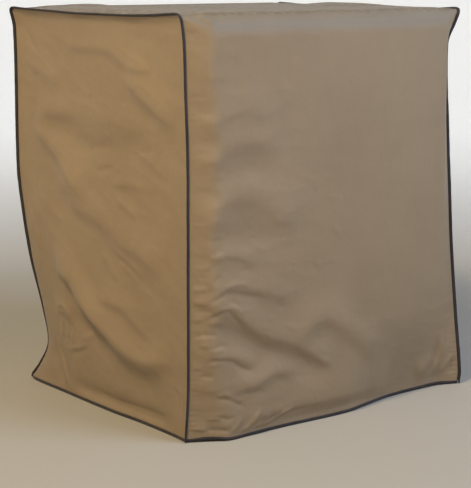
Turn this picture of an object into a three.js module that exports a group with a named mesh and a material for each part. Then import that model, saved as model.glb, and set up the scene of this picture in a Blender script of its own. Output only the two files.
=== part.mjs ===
// Fitted weather cover of coated cloth, in the shape in which it hangs.
// Millimetres, Z up. The front faces -Y and the left side faces -X.
// The origin is under the middle of the cover, level with its hem.
import * as THREE from 'three';

// Driving sizes
const HEIGHT = 1030;
const HALF_WIDTH = 456;
const FRONT = -376;
const BACK = 420;
const THICKNESS = 1.5;

// The front is drawn tight between two upright corners inside the seams
const LEFT_CORNER = -399;
const RIGHT_CORNER = 396;
const CORNER_ROUND = 10;
const BEND_RADIUS = 55;
const BEND_LEVEL = 975;
const TOP_LEVEL = 1034;
const BACK_BEND_START = 358;

// The seams stick out past the bends as pointed ears
const EAR_REACH = 40;
const EAR_ROUND = 12;

// Panel edges and the tapes folded over them
const SEAM_GAP = 0.25;
const PANEL_FOOT = 1.5;
const BAND_TOP = 9.4;
const TAPE_FOOT = 8.1;
const TAPE_SECTION = [
  { across: -1.2, out: 0.45 }, { across: -2.6, out: 2.1 },
  { across: -2.4, out: 7.1 }, { across: -1.2, out: 8.3 },
  { across: 1.2, out: 8.3 }, { across: 2.4, out: 7.1 },
  { across: 2.6, out: 2.1 }, { across: 1.2, out: 0.45 },
];
const HEM_SECTION = [
  { out: -3.1, up: 0 }, { out: -3.1, up: 7.5 }, { out: -1.95, up: 7.5 }, { out: -1.95, up: 1.2 },
  { out: 0.45, up: 1.2 }, { out: 0.45, up: 7.5 }, { out: 1.6, up: 7.5 }, { out: 1.6, up: 0 },
];

// Steps of the grids that the panels are built on. Levels lie closer together toward the hem.
const LEVEL_STEPS = 26;
const LEVEL_GROWTH = 1.25;
const TOP_STEPS = 14;
const FRONT_COLUMNS = 18;

// Where each seam runs, as its distance from the straight box: out from the middle, fore to the front,
// aft to the back, rise upward
const SEAMS = {
  left: {
    sign: -1,
    front: [
      { z: 0, out: -5, fore: 0 }, { z: 110, out: -13, fore: 0 }, { z: 300, out: -15, fore: 0 },
      { z: 700, out: -16, fore: 0 }, { z: 850, out: -11, fore: 0 }, { z: 960, out: -8, fore: 0 },
      { z: 1000, out: -4, fore: 0 }, { z: 1030, out: 1.5, fore: 0 },
    ],
    top: [
      { y: -376, out: 1.5, rise: 0 }, { y: -320, out: -3, rise: -3 }, { y: -245, out: -5, rise: -7 },
      { y: -136, out: -6, rise: -9.5 }, { y: 98, out: -6, rise: -9.5 }, { y: 223, out: -6, rise: -7 },
      { y: 370, out: -3, rise: -3 }, { y: 420, out: 6, rise: 0 },
    ],
    back: [
      { z: 0, out: -4, aft: -43 }, { z: 38, out: -27, aft: -60 }, { z: 100, out: -49, aft: -75 },
      { z: 201, out: -42, aft: -60 }, { z: 348, out: -23, aft: -28 }, { z: 505, out: -10, aft: -8 },
      { z: 600, out: -6, aft: 0 }, { z: 975, out: -6, aft: 0 }, { z: 1030, out: 6, aft: 0 },
    ],
  },
  right: {
    sign: 1,
    front: [
      { z: 0, out: -1, fore: 20 }, { z: 34, out: 5, fore: 20 }, { z: 200, out: -3, fore: 6 },
      { z: 392, out: -12, fore: -8 }, { z: 555, out: -19, fore: -14 }, { z: 682, out: -24, fore: -19 },
      { z: 938, out: -37, fore: -19 }, { z: 1000, out: -20, fore: -6 }, { z: 1030, out: -12, fore: 0 },
    ],
    top: [
      { y: -376, out: -12, rise: 0 }, { y: -245, out: -10, rise: -6 }, { y: 0, out: -7, rise: -9 },
      { y: 250, out: -6, rise: -6 }, { y: 420, out: 4, rise: 0 },
    ],
    back: [
      { z: 0, out: -2, aft: -4 }, { z: 100, out: -10, aft: -12 }, { z: 300, out: -14, aft: -10 },
      { z: 600, out: -6, aft: 0 }, { z: 975, out: -5, aft: 0 }, { z: 1030, out: 4, aft: 0 },
    ],
  },
};

// How far the front stands before the seams, and how its hem runs
const FRONT_BODY = [
  { x: -399, fore: 41 }, { x: 0, fore: 41 }, { x: 200, fore: 34 }, { x: 396, fore: 14 },
];
const FRONT_HEM = [
  { x: -399, fore: 30, lift: 6 }, { x: -360, fore: 50, lift: 1 }, { x: -300, fore: 49, lift: 0 },
  { x: -200, fore: 44, lift: 0 }, { x: 26, fore: 46, lift: 0 }, { x: 120, fore: 25, lift: 0 },
  { x: 220, fore: 4, lift: 0 }, { x: 396, fore: 0, lift: 3 },
];
const SIDE_HEM = {
  left: [
    { y: -376, out: -5 }, { y: -309, out: -8 }, { y: -173, out: -6.5 }, { y: -44, out: 1.5 },
    { y: 209, out: 3 }, { y: 340, out: 3 }, { y: 377, out: -4 },
  ],
  right: [
    { y: -396, out: -1 }, { y: -280, out: 5 }, { y: -100, out: -4 }, { y: 100, out: 6 },
    { y: 290, out: -3 }, { y: 416, out: -2 },
  ],
};

// Folds: the line of each crest as places on its panel, how far it spreads above and below that line,
// and how high it stands. A negative height is a trough.
const FRONT_FOLDS = [
  { path: [[-399, 772], [-330, 806], [-240, 796], [-190, 776]], above: 44, below: 22, height: 3 },
  { path: [[-399, 692], [-340, 726], [-250, 724], [-180, 696]], above: 44, below: 28, height: 5 },
  { path: [[-399, 640], [-300, 655], [-200, 640]], above: 26, below: 30, height: -2 },
  { path: [[-399, 560], [-345, 600], [-250, 584], [-170, 535], [-120, 500]],
    above: 50, below: 34, height: 6 },
  { path: [[-399, 500], [-280, 500], [-170, 475]], above: 24, below: 34, height: -3 },
  { path: [[-399, 440], [-330, 450], [-250, 424]], above: 30, below: 16, height: 3.5 },
  { path: [[-399, 368], [-330, 374], [-230, 354], [-130, 318]], above: 34, below: 17, height: 4 },
  { path: [[-399, 330], [-340, 316], [-250, 254], [-140, 210], [-60, 160], [0, 130]],
    above: 40, below: 20, height: 7.5 },
  { path: [[-399, 285], [-320, 255], [-240, 205], [-130, 160], [-30, 105]],
    above: 20, below: 40, height: -4 },
  { path: [[-170, 214], [-110, 246], [-45, 266], [20, 232], [90, 176], [160, 122]],
    above: 44, below: 28, height: 7 },
  { path: [[-399, 210], [-330, 202], [-250, 170]], above: 22, below: 16, height: 4 },
  { path: [[-360, 120], [-270, 132], [-205, 152], [-120, 122]], above: 30, below: 18, height: 6.5 },
  { path: [[-340, 36], [-130, 52], [60, 56], [220, 46]], above: 80, below: 24, height: 9 },
  { path: [[-340, 16], [-160, 20], [20, 22], [140, 16]], above: 16, below: 12, height: -2.5 },
  { path: [[300, 40], [350, 62], [390, 92]], above: 30, below: 24, height: 7 },
];
const SIDE_FOLDS = {
  left: [
    { path: [[-320, 190], [-200, 168], [-110, 186], [0, 236], [60, 272],
        [118, 316], [180, 364], [240, 406]],
      above: 38, below: 32, height: 11 },
    { path: [[-60, 204], [0, 234], [60, 268], [118, 312], [200, 372]],
      above: 38, below: 24, height: 6.5 },
    { path: [[130, 300], [172, 328], [232, 332]], above: 24, below: 20, height: 6 },
    { path: [[-320, 190], [-110, 190], [60, 274], [180, 364], [350, 540]],
      above: 100, below: 96, height: 7 },
    { path: [[-280, 105], [-150, 108], [-30, 148], [70, 206], [130, 250], [190, 296]],
      above: 36, below: 44, height: -5 },
    { path: [[-270, 392], [-168, 440], [-80, 458], [0, 500], [104, 524], [170, 570], [240, 590]],
      above: 56, below: 28, height: 9 },
    { path: [[60, 536], [150, 600], [208, 648], [264, 682], [350, 730]],
      above: 54, below: 24, height: 10 },
    { path: [[-210, 700], [-100, 690], [0, 684], [90, 688], [150, 704], [230, 722], [320, 738]],
      above: 34, below: 46, height: -5 },
    { path: [[-210, 742], [-60, 756], [120, 766], [230, 762], [330, 750]],
      above: 46, below: 26, height: 3 },
    { path: [[120, 756], [220, 758], [350, 752]], above: 30, below: 26, height: 5 },
    { path: [[-330, 750], [-280, 784], [-168, 840], [-90, 888]], above: 50, below: 22, height: 10 },
    { path: [[-230, 228], [-168, 252], [-104, 284], [-40, 294], [30, 306]],
      above: 40, below: 17, height: 7 },
    { path: [[-240, 896], [-120, 902], [-32, 936], [80, 938], [190, 940]],
      above: 40, below: 16, height: 5 },
    { path: [[180, 814], [240, 848], [320, 876], [396, 902]], above: 34, below: 20, height: 5 },
    { path: [[180, 12], [212, 62], [262, 140]], above: 12, below: 30, height: -6 },
    { path: [[120, 215], [200, 238], [250, 215]], above: 30, below: 24, height: 7 },
    { path: [[-320, 26], [-100, 25], [60, 30], [150, 38]], above: 24, below: 15, height: -8 },
  ],
  right: [
    { path: [[-330, 250], [-150, 330], [60, 340], [260, 250]], above: 80, below: 40, height: 15 },
    { path: [[-340, 640], [-150, 560], [60, 520], [280, 600]], above: 60, below: 45, height: -11 },
    { path: [[-300, 820], [-60, 860], [200, 800]], above: 60, below: 40, height: 8 },
    { path: [[-300, 90], [-100, 140], [140, 110], [320, 150]], above: 34, below: 34, height: -8 },
  ],
};
const TOP_FOLDS = [
  { path: [[-380, 250], [-300, 290], [-220, 300]], above: 90, below: 90, height: 6 },
  { path: [[240, -160], [340, -60], [360, 120]], above: 90, below: 90, height: 7 },
  { path: [[-190, 340], [-150, 240], [-120, 120]], above: 40, below: 40, height: -4 },
];
// The back hangs free: a soft bulge, with flutes that grow toward the hem
const BACK_BULGE = 8;
const BACK_FLUTE = { height: 11, count: 3, start: 0.1 };
const SEAM_PULL_SHARE = 0.24;
const UNDER_SEAM = { level: 1008, depth: 4, spread: 20 };
// Where a side panel's back seam is pulled in, and over what share of the panel that reaches
const SIDE_PULL = { top: 600, share: 0.42 };

// A fold dies away over this length at its ends, or over this share of it if it is short
const FOLD_RAMP = 80;
const FOLD_RAMP_SHARE = 0.35;
// Over what share of a panel's width or height its edges hold it to the seams
const SIDE_HELD = 0.06;
const SIDE_TOP_HELD = 0.02;
const BACK_HELD = 0.12;
// Heights above the hem band by which folds reach full depth, the hem's line is left and a lift is gone
const FOLD_FOOT = 12;
const HEM_TURN = 220;
const LIFT_FADE = 120;

const mix = (a, b, share) => a + (b - a) * share;
const clamp = (value) => Math.min(Math.max(value, 0), 1);
const smooth = (value) => clamp(value) ** 2 * (3 - 2 * clamp(value));
const shares = (steps) => Array.from({ length: steps + 1 }, (_, step) => step / steps);

// Smooth curve through one column of a table
function read(table, key, column, at) {
  const found = table.findIndex((row) => row[key] >= at);
  const high = found < 0 ? table.length - 1 : Math.max(found, 1);
  const slope = (index) => {
    const before = table[Math.max(index - 1, 0)];
    const after = table[Math.min(index + 1, table.length - 1)];
    return (after[column] - before[column]) / (after[key] - before[key]);
  };
  const from = table[high - 1];
  const to = table[high];
  const span = to[key] - from[key];
  const t = clamp((at - from[key]) / span);
  return (1 + 2 * t) * (1 - t) ** 2 * from[column] + t * (1 - t) ** 2 * span * slope(high - 1)
    + t * t * (3 - 2 * t) * to[column] - t * t * (1 - t) * span * slope(high);
}

// Height of a panel's folds at one place on it
function foldHeight(folds, a, b) {
  let total = 0;
  for (const { path, above, below, height } of folds) {
    const lengths = path.slice(1).map((end, i) => Math.hypot(end[0] - path[i][0], end[1] - path[i][1]));
    const whole = lengths.reduce((sum, length) => sum + length, 0);
    let best = { distance: Infinity };
    let done = 0;
    lengths.forEach((length, i) => {
      const [startA, startB] = path[i];
      const alongA = (path[i + 1][0] - startA) / length;
      const alongB = (path[i + 1][1] - startB) / length;
      const run = clamp(((a - startA) * alongA + (b - startB) * alongB) / length) * length;
      const distance = Math.hypot(a - startA - run * alongA, b - startB - run * alongB);
      if (distance < best.distance) {
        const side = alongA * (b - startB) - alongB * (a - startA);
        best = { distance, side, along: done + run };
      }
      done += length;
    });
    const spread = best.side > 0 ? above : below;
    const ramp = Math.min(FOLD_RAMP, FOLD_RAMP_SHARE * whole);
    const startsAtCorner = path[0][0] === LEFT_CORNER;
    const fadeIn = startsAtCorner ? 1 : smooth(best.along / ramp);
    const fade = fadeIn * smooth((whole - best.along) / ramp);
    total += height * fade * Math.exp(-((best.distance / spread) ** 2));
  }
  return total;
}

// One station for each row of the wrap panel: where it crosses the seams, and where it lies between them
const frontStations = [
  { seam: { run: 'front', at: PANEL_FOOT }, body: { zone: 'front', at: PANEL_FOOT } },
  ...shares(LEVEL_STEPS).map((share) => ({
    seam: { run: 'front', at: mix(BAND_TOP, HEIGHT - EAR_REACH, share ** LEVEL_GROWTH) },
    body: { zone: 'front', at: mix(BAND_TOP, BEND_LEVEL, share ** LEVEL_GROWTH) },
  })),
];
const frontBend = [
  { seam: { run: 'front', at: HEIGHT - EAR_ROUND }, body: { zone: 'frontBend', at: Math.PI / 8 } },
  { seam: { run: 'frontTip' }, body: { zone: 'frontBend', at: Math.PI / 4 } },
  { seam: { run: 'top', at: FRONT + EAR_ROUND }, body: { zone: 'frontBend', at: 3 * Math.PI / 8 } },
];
const topStations = shares(TOP_STEPS).map((share) => ({
  seam: { run: 'top', at: mix(FRONT + EAR_REACH, BACK - EAR_REACH, share) },
  body: { zone: 'top', at: share },
}));
const backBend = [
  { seam: { run: 'top', at: BACK - EAR_ROUND }, body: { zone: 'backBend', at: Math.PI / 8 } },
  { seam: { run: 'backTip' }, body: { zone: 'backBend', at: Math.PI / 4 } },
  { seam: { run: 'back', at: HEIGHT - EAR_ROUND }, body: { zone: 'backBend', at: 3 * Math.PI / 8 } },
];
const backStations = frontStations.map(({ seam, body }) => ({
  seam: { run: 'back', at: seam.at },
  body: { zone: 'back', at: body.at },
}));
backStations.reverse();
const stations = [...frontStations, ...frontBend, ...topStations, ...backBend, ...backStations];

// Point of a seam at a station
function seamPoint(side, { run, at }) {
  const { sign, front, top, back } = SEAMS[side];
  const level = Math.max(at, BAND_TOP);
  if (run === 'front') {
    const x = sign * (HALF_WIDTH + read(front, 'z', 'out', level));
    return new THREE.Vector3(x, FRONT - read(front, 'z', 'fore', level), at);
  }
  if (run === 'back') {
    const x = sign * (HALF_WIDTH + read(back, 'z', 'out', level));
    return new THREE.Vector3(x, BACK + read(back, 'z', 'aft', level), at);
  }
  if (run === 'top') {
    const x = sign * (HALF_WIDTH + read(top, 'y', 'out', at));
    return new THREE.Vector3(x, at, HEIGHT + read(top, 'y', 'rise', at));
  }
  const edge = run === 'frontTip' ? FRONT : BACK;
  const drop = EAR_ROUND * (1 - Math.SQRT1_2);
  const x = sign * (HALF_WIDTH + read(top, 'y', 'out', edge));
  return new THREE.Vector3(x, edge - Math.sign(edge) * drop, HEIGHT - drop);
}
const seamPoints = {
  left: stations.map(({ seam }) => seamPoint('left', seam)),
  right: stations.map(({ seam }) => seamPoint('right', seam)),
};

// Front surface: how far it stands before the seams at one place
function frontFore(x, z) {
  const rise = z - BAND_TOP;
  const hem = read(FRONT_HEM, 'x', 'fore', x);
  const flat = mix(hem, read(FRONT_BODY, 'x', 'fore', x), smooth(rise / HEM_TURN));
  return flat + foldHeight(FRONT_FOLDS, x, z) * smooth(rise / FOLD_FOOT);
}

function topLevel(x, y) {
  return TOP_LEVEL + foldHeight(TOP_FOLDS, x, y);
}

// Back surface: how far it stands behind the straight box, the seams' own pull fading toward the middle
function backPoint(share, z, stationIndex) {
  const left = seamPoints.left[stationIndex];
  const right = seamPoints.right[stationIndex];
  const drop = 1 - z / HEIGHT;
  const turns = BACK_FLUTE.count * share + BACK_FLUTE.start;
  const flute = BACK_FLUTE.height * drop * Math.sin(2 * Math.PI * turns);
  const held = smooth(Math.min(share, 1 - share) / BACK_HELD);
  const leftPull = (left.y - BACK) * clamp(1 - share / SEAM_PULL_SHARE) ** 2;
  const rightPull = (right.y - BACK) * clamp(1 - (1 - share) / SEAM_PULL_SHARE) ** 2;
  const y = BACK + held * (BACK_BULGE + flute) + leftPull + rightPull;
  return new THREE.Vector3(mix(left.x, right.x, share), y, z);
}

// Point of the wrap panel between the corners
function bodyPoint(x, stationIndex) {
  const { zone, at } = stations[stationIndex].body;
  const bendStart = FRONT - read(FRONT_BODY, 'x', 'fore', x);
  if (zone === 'front') {
    const lift = Math.max(read(FRONT_HEM, 'x', 'lift', x), 0) * (1 - smooth((at - BAND_TOP) / LIFT_FADE));
    return new THREE.Vector3(x, FRONT - frontFore(x, at), at + lift);
  }
  if (zone === 'frontBend') {
    const rise = topLevel(x, bendStart + BEND_RADIUS) - BEND_LEVEL;
    const y = bendStart + BEND_RADIUS * (1 - Math.cos(at));
    return new THREE.Vector3(x, y, BEND_LEVEL + rise * Math.sin(at));
  }
  if (zone === 'top') {
    const y = mix(bendStart + BEND_RADIUS, BACK_BEND_START, at);
    return new THREE.Vector3(x, y, topLevel(x, y));
  }
  const share = (x + HALF_WIDTH) / (2 * HALF_WIDTH);
  if (zone === 'backBend') {
    const foot = backPoint(share, BEND_LEVEL, stationIndex);
    const rise = topLevel(x, BACK_BEND_START) - BEND_LEVEL;
    const y = BACK_BEND_START + (foot.y - BACK_BEND_START) * Math.sin(at);
    return new THREE.Vector3(foot.x, y, BEND_LEVEL + rise * Math.cos(at));
  }
  return backPoint(share, at, stationIndex);
}

function wrapRow(_, stationIndex) {
  const left = seamPoints.left[stationIndex];
  const right = seamPoints.right[stationIndex];
  const leftEdge = bodyPoint(LEFT_CORNER, stationIndex);
  const rightEdge = bodyPoint(RIGHT_CORNER, stationIndex);
  const leftStrip = [0, 0.4, 0.8].map((share) => left.clone().lerp(leftEdge, share));
  const rightStrip = [0.8, 0.4, 0].map((share) => right.clone().lerp(rightEdge, share));
  const between = shares(FRONT_COLUMNS).map((share) => {
    const x = mix(LEFT_CORNER + CORNER_ROUND, RIGHT_CORNER - CORNER_ROUND, share);
    return bodyPoint(x, stationIndex);
  });
  return [...leftStrip, ...between, ...rightStrip];
}

// Side panel between its two seams: straight, but for the back seam's pull, which stays near it
const tipIndex = frontStations.length + 1;
const backTipIndex = stations.length - 1 - tipIndex;
function sideLoft(side, share, level) {
  const start = seamPoints[side][level];
  const end = seamPoints[side][stations.length - 1 - level];
  const straight = end.z < SIDE_PULL.top ? seamPoint(side, { run: 'back', at: SIDE_PULL.top }) : end.clone();
  straight.z = end.z;
  const pull = clamp(1 - (1 - share) / SIDE_PULL.share) ** 2;
  return start.clone().lerp(straight, share).addScaledVector(end, pull).addScaledVector(straight, -pull);
}

// Side panel: brought to its hem and its top seam, with the folds standing out from that
function sideGrid(side) {
  const { sign } = SEAMS[side];
  const line = seamPoints[side];
  const topEdge = line.slice(tipIndex, backTipIndex + 1);
  const top = topEdge.length - 1;
  const across = topEdge.map(({ y }) => (y - topEdge[0].y) / (topEdge[top].y - topEdge[0].y));
  const feet = across.map((share) => sideLoft(side, share, 0));
  const tips = across.map((share) => sideLoft(side, share, tipIndex));
  const hem = feet.map(({ x, y, z }, column) => {
    const inside = column > 0 && column < top;
    return new THREE.Vector3(inside ? sign * (HALF_WIDTH + read(SIDE_HEM[side], 'y', 'out', y)) : x, y, z);
  });
  return line.slice(0, tipIndex + 1).map((start, level) => {
    const up = (start.z - PANEL_FOOT) / (line[tipIndex].z - PANEL_FOOT);
    return across.map((share, column) => {
      const point = sideLoft(side, share, level)
        .addScaledVector(hem[column], 1 - up)
        .addScaledVector(feet[column], up - 1)
        .addScaledVector(topEdge[column], up)
        .addScaledVector(tips[column], -up);
      const inEdges = smooth(Math.min(share, 1 - share) / SIDE_HELD) * smooth((1 - up) / SIDE_TOP_HELD);
      const aboveBand = smooth((start.z - BAND_TOP) / FOLD_FOOT);
      const tuck = UNDER_SEAM.depth * Math.exp(-(((point.z - UNDER_SEAM.level) / UNDER_SEAM.spread) ** 2));
      const stand = foldHeight(SIDE_FOLDS[side], point.y, point.z) - tuck;
      point.x += sign * inEdges * aboveBand * stand;
      return point;
    });
  });
}

// Mesh of a closed ring of sections, or of a capped run of them
function sweep(rings, closed) {
  const size = rings[0].length;
  const faces = [];
  const runs = closed ? rings.length : rings.length - 1;
  for (let ring = 0; ring < runs; ring += 1) {
    const next = (ring + 1) % rings.length;
    for (let corner = 0; corner < size; corner += 1) {
      const beside = (corner + 1) % size;
      const quad = [ring * size + corner, ring * size + beside, next * size + beside, next * size + corner];
      faces.push(quad[0], quad[1], quad[2], quad[0], quad[2], quad[3]);
    }
  }
  if (!closed) {
    const last = (rings.length - 1) * size;
    for (let corner = 1; corner < size - 1; corner += 1) {
      faces.push(0, corner + 1, corner);
      faces.push(last, last + corner, last + corner + 1);
    }
  }
  return geometryFrom(rings.flat(), faces);
}

function geometryFrom(points, faces) {
  const geometry = new THREE.BufferGeometry();
  const places = points.flatMap((point) => point.toArray());
  geometry.setAttribute('position', new THREE.Float32BufferAttribute(places, 3));
  geometry.setIndex(faces);
  geometry.computeVertexNormals();
  return geometry;
}

// Outward direction of a grid of points at one of them
function gridNormal(grid, row, column) {
  const above = grid[Math.min(row + 1, grid.length - 1)][column];
  const below = grid[Math.max(row - 1, 0)][column];
  const after = grid[row][Math.min(column + 1, grid[row].length - 1)];
  const before = grid[row][Math.max(column - 1, 0)];
  return after.clone().sub(before).cross(above.clone().sub(below)).normalize();
}

// Closed sheet on a grid of outer points. Edges that lie in a seam end on that seam's plane.
function sheet(grid, seamAt) {
  const outer = [];
  const inner = [];
  grid.forEach((line, row) => line.forEach((point, column) => {
    const normal = gridNormal(grid, row, column);
    const seam = seamAt(row, column);
    if (!seam) {
      outer.push(point.clone());
      inner.push(point.clone().addScaledVector(normal, -THICKNESS));
      return;
    }
    const facing = seam.out.dot(normal);
    const step = seam.across.clone().multiplyScalar(SEAM_GAP * seam.hand);
    step.addScaledVector(seam.out, -step.dot(normal) / facing);
    const edge = point.clone().add(step);
    outer.push(edge);
    inner.push(edge.clone().addScaledVector(seam.out, -THICKNESS / facing));
  }));
  const columns = grid[0].length;
  const half = outer.length;
  const faces = [];
  const quad = (a, b, c, d) => faces.push(a, b, c, a, c, d);
  for (let row = 0; row < grid.length - 1; row += 1) {
    for (let column = 0; column < columns - 1; column += 1) {
      const a = row * columns + column;
      quad(a, a + 1, a + columns + 1, a + columns);
      quad(half + a, half + a + columns, half + a + columns + 1, half + a + 1);
    }
  }
  const lastRow = (grid.length - 1) * columns;
  for (let column = 0; column < columns - 1; column += 1) {
    quad(column, half + column, half + column + 1, column + 1);
    quad(lastRow + column, lastRow + column + 1, half + lastRow + column + 1, half + lastRow + column);
  }
  for (let row = 0; row < grid.length - 1; row += 1) {
    const start = row * columns;
    const end = start + columns - 1;
    quad(start, start + columns, half + start + columns, half + start);
    quad(end, half + end, half + end + columns, end + columns);
  }
  return geometryFrom([...outer, ...inner], faces);
}

const cloth = new THREE.MeshStandardMaterial({ color: 0xa89272, roughness: 0.72, metalness: 0 });
const tape = new THREE.MeshStandardMaterial({ color: 0x2b2423, roughness: 0.8, metalness: 0 });
const cover = new THREE.Group();
function add(name, geometry, material) {
  const mesh = new THREE.Mesh(geometry, material.clone());
  mesh.name = name;
  cover.add(mesh);
}

// Front, top and back in one strip; and the side panels, with their columns in the order that points out
const wrapGrid = stations.map(wrapRow);
const lastColumn = wrapGrid[0].length - 1;
const sideGrids = { left: sideGrid('left'), right: sideGrid('right') };
const outwardGrids = { left: sideGrids.left.map((line) => [...line].reverse()), right: sideGrids.right };

// Place of a seam's station on its side panel: the row, and the column counted from the front
function sidePlace(side, station) {
  const columns = sideGrids[side][0].length - 1;
  if (station <= tipIndex) return { row: station, column: 0 };
  if (station >= backTipIndex) return { row: stations.length - 1 - station, column: columns };
  return { row: tipIndex, column: station - tipIndex };
}

// Each seam's directions: out lies halfway between the outward directions of the two panels it joins.
// At the top of the hem band the seam still counts as upright.
function seamLine(side) {
  const points = seamPoints[side];
  const last = points.length - 1;
  return points.map((point, station) => {
    const before = points[station === last - 1 ? station : Math.max(station - 1, 0)];
    const after = points[station === 1 ? station : Math.min(station + 1, last)];
    const along = after.clone().sub(before).normalize();
    const { row, column } = sidePlace(side, station);
    const sideColumn = side === 'left' ? sideGrids.left[0].length - 1 - column : column;
    const out = gridNormal(wrapGrid, station, side === 'left' ? 0 : lastColumn)
      .add(gridNormal(outwardGrids[side], row, sideColumn));
    out.addScaledVector(along, -out.dot(along)).normalize();
    return { point, out, across: along.clone().cross(out) };
  });
}
const seamLines = { left: seamLine('left'), right: seamLine('right') };

add('wrap_panel', sheet(wrapGrid, (row, column) => {
  if (column === 0) return { ...seamLines.left[row], hand: 1 };
  if (column === lastColumn) return { ...seamLines.right[row], hand: -1 };
  return null;
}), cloth);
for (const side of ['left', 'right']) {
  const columns = sideGrids[side][0].length - 1;
  const hand = side === 'left' ? -1 : 1;
  add(`${side}_side_panel`, sheet(outwardGrids[side], (row, gridColumn) => {
    const column = side === 'left' ? columns - gridColumn : gridColumn;
    if (row === tipIndex) return { ...seamLines[side][tipIndex + column], hand };
    if (column === 0) return { ...seamLines[side][row], hand };
    if (column === columns) return { ...seamLines[side][stations.length - 1 - row], hand };
    return null;
  }), cloth);
}

// Tape folded over each raised seam, from the hem tape up, over and down to it again
for (const side of ['left', 'right']) {
  const rings = seamLines[side].slice(1, -1).map(({ point, out, across }) => TAPE_SECTION.map((corner) => (
    point.clone().addScaledVector(across, corner.across).addScaledVector(out, corner.out)
  )));
  const foot = (ring) => ring.map(({ x, y }) => new THREE.Vector3(x, y, TAPE_FOOT));
  add(`${side}_binding`, sweep([foot(rings[0]), ...rings, foot(rings[rings.length - 1])], false), tape);
}

// Tape folded over the lower edge, all the way round, seen from above against the clock
const hemLoop = [
  ...wrapGrid[0].slice(0, -1),
  ...sideGrids.right[0].slice(0, -1),
  ...[...wrapGrid[wrapGrid.length - 1]].reverse().slice(0, -1),
  ...[...sideGrids.left[0]].reverse().slice(0, -1),
];
const hemRings = hemLoop.map((point, index) => {
  const before = hemLoop[(index + hemLoop.length - 1) % hemLoop.length];
  const after = hemLoop[(index + 1) % hemLoop.length];
  const came = new THREE.Vector2(point.x - before.x, point.y - before.y).normalize();
  const goes = new THREE.Vector2(after.x - point.x, after.y - point.y).normalize();
  const mitre = new THREE.Vector2(came.y + goes.y, -came.x - goes.x).normalize();
  const stretch = 1 / (mitre.x * goes.y - mitre.y * goes.x);
  return HEM_SECTION.map(({ out, up }) => new THREE.Vector3(
    point.x + mitre.x * out * stretch,
    point.y + mitre.y * out * stretch,
    point.z - PANEL_FOOT + up,
  ));
});
add('hem_binding', sweep(hemRings, true), tape);

export default cover;
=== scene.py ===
import math

import bpy
import numpy as np
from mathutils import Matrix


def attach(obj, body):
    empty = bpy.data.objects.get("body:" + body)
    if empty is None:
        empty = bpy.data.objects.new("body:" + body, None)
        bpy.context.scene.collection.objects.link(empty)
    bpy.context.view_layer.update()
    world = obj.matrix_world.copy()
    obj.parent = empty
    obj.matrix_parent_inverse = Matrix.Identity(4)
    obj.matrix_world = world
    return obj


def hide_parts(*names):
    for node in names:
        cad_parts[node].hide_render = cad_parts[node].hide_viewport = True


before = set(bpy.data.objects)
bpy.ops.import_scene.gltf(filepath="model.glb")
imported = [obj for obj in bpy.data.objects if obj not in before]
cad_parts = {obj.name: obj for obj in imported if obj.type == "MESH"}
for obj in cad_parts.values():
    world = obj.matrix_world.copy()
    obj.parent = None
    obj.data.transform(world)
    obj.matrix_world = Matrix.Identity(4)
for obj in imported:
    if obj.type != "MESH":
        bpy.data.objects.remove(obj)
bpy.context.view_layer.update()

# Driving sizes, in millimetres in the row's own frame: the front faces -Y and the left side faces -X
MM = 0.001
HEIGHT = 1030.0
HALF_WIDTH = 456.0
FRONT = -376.0
BACK = 420.0
LEFT_CORNER = -399.0
RIGHT_CORNER = 396.0
BEND_RADIUS = 55.0
BEND_LEVEL = 975.0
TOP_LEVEL = 1034.0
BACK_BEND_START = 358.0
EAR_REACH = 40.0
EAR_ROUND = 12.0
PANEL_FOOT = 1.5
SECOND_ROW = 6.0
BAND_TOP = 9.4


def table(columns, *rows):
    """A short table: an array for each named column."""
    return dict(zip(columns.split(), np.array(rows, float).T))


# Where each seam runs, as its distance from the straight box
SEAMS = {
    "left": {
        "sign": -1,
        "front": table(
            "z out fore",
            (0, -5, 0), (110, -13, 0), (300, -15, 0), (700, -16, 0),
            (850, -11, 0), (960, -8, 0), (1000, -4, 0), (1030, 1.5, 0),
        ),
        "top": table(
            "y out rise",
            (-376, 1.5, 0), (-320, -3, -3), (-245, -5, -7), (-136, -6, -9.5),
            (98, -6, -9.5), (223, -6, -7), (370, -3, -3), (420, 6, 0),
        ),
        "back": table(
            "z out aft",
            (0, -4, -43), (38, -27, -60), (100, -49, -75), (201, -42, -60), (348, -23, -28),
            (505, -10, -8), (600, -6, 0), (975, -6, 0), (1030, 6, 0),
        ),
    },
    "right": {
        "sign": 1,
        "front": table(
            "z out fore",
            (0, -1, 20), (34, 5, 20), (200, -3, 6), (392, -12, -8), (555, -19, -14),
            (682, -24, -19), (938, -37, -19), (1000, -20, -6), (1030, -12, 0),
        ),
        "top": table(
            "y out rise",
            (-376, -12, 0), (-245, -10, -6), (0, -7, -9), (250, -6, -6), (420, 4, 0),
        ),
        "back": table(
            "z out aft",
            (0, -2, -4), (100, -10, -12), (300, -14, -10), (600, -6, 0), (975, -5, 0), (1030, 4, 0),
        ),
    },
}
FRONT_BODY = table("x fore", (-399, 41), (0, 41), (200, 34), (396, 14))
FRONT_HEM = table(
    "x fore lift",
    (-399, 30, 6), (-360, 50, 1), (-300, 49, 0), (-200, 44, 0),
    (26, 46, 0), (120, 25, 0), (220, 4, 0), (396, 0, 3),
)
SIDE_HEM = {
    "left": table(
        "y out",
        (-376, -5), (-309, -8), (-173, -6.5), (-44, 1.5), (209, 3), (340, 3), (377, -4),
    ),
    "right": table("y out", (-396, -1), (-280, 5), (-100, -4), (100, 6), (290, -3), (416, -2)),
}
BACK_BULGE = 8.0
BACK_FLUTE = {"height": 11.0, "count": 3, "start": 0.1}
SEAM_PULL_SHARE = 0.24
SIDE_PULL = {"share": 0.42, "top": 600.0}
UNDER_SEAM = {"level": 1008.0, "depth": 2.5, "spread": 20.0}
FOLD_RAMP = 80.0
FOLD_RAMP_SHARE = 0.35
FOLD_REACH = 3.2
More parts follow.
